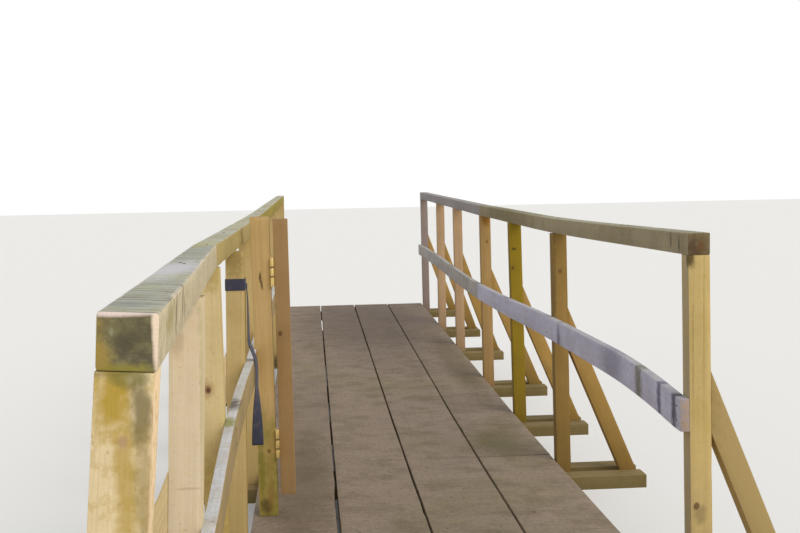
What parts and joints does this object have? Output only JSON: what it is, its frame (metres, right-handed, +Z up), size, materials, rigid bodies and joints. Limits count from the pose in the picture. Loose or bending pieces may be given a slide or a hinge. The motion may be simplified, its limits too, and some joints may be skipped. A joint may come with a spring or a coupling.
{
  "type": "timber footbridge with braced handrails",
  "caption": "Narrow timber footbridge of long planks on paired cross joists, with posts braced by raking struts, handrails, midrails and a hinged gate stile.",
  "frame": {"origin": "on the ground, under the middle of the bridge's length and width", "axes": "+Y along the bridge away from the end where the picture was taken, +X to the right across it, +Z up"},
  "size_m": [1.98, 9.82, 1.5087],
  "materials": {
    "sill_timber": "rough sawn, dark and damp",
    "beam_timber": "rough sawn, weathered",
    "joist_timber": "sawn, weathered olive brown",
    "deck_timber": "sawn, worn grey brown",
    "post_timber": "planed, pale yellow green treated pine",
    "rail_timber": "planed, weathered silver grey",
    "midrail_timber": "sawn, weathered blue grey",
    "gate_timber": "planed, pale tan",
    "hinge_brass": "satin",
    "strap_webbing": "woven, dull"
  },
  "bodies": {
    "bridge": {"end_sill_near": "sill_timber", "end_sill_far": "sill_timber", "main_beam_left": "beam_timber", "main_beam_right": "beam_timber", "cross_joists_near": "joist_timber", "cross_joist_5": "joist_timber", "cross_joist_6": "joist_timber", "cross_joist_7": "joist_timber", "cross_joist_8": "joist_timber", "cross_joist_9": "joist_timber", "cross_joist_10": "joist_timber", "deck_plank_1": "deck_timber", "deck_plank_2": "deck_timber", "deck_plank_3": "deck_timber", "deck_plank_4": "deck_timber", "left_post_1": "post_timber", "left_post_2": "post_timber", "left_post_3": "post_timber", "left_post_4": "post_timber", "left_posts_far": "post_timber", "right_post_3": "post_timber", "right_post_5": "post_timber", "right_post_6": "post_timber", "right_post_7": "post_timber", "right_post_8": "post_timber", "right_post_9": "post_timber", "right_post_10": "post_timber", "left_struts": "post_timber", "right_struts": "post_timber", "left_top_rail_near": "rail_timber", "left_top_rail_mid": "rail_timber", "left_top_rail_far": "rail_timber", "right_top_rail_near": "rail_timber", "right_top_rail_far": "rail_timber", "left_midrail_near": "midrail_timber", "left_midrail_far": "midrail_timber", "right_midrail_near": "midrail_timber", "right_midrail_far": "midrail_timber", "gate_post": "gate_timber", "hinge_leaf_post": "hinge_brass", "hinge_pin": "hinge_brass", "strap_band": "strap_webbing", "strap_tail": "strap_webbing"},
    "stile": {"gate_stile": "gate_timber", "hinge_leaf_stile": "hinge_brass"}
  },
  "joints": [
    {"name": "stile_swing", "type": "hinge", "parent": "bridge", "child": "stile", "pos_m": [-0.51565, -1.8201, 0.44167], "axis": [0.0052, 0, -1], "range_deg": [0, 175]}
  ]
}
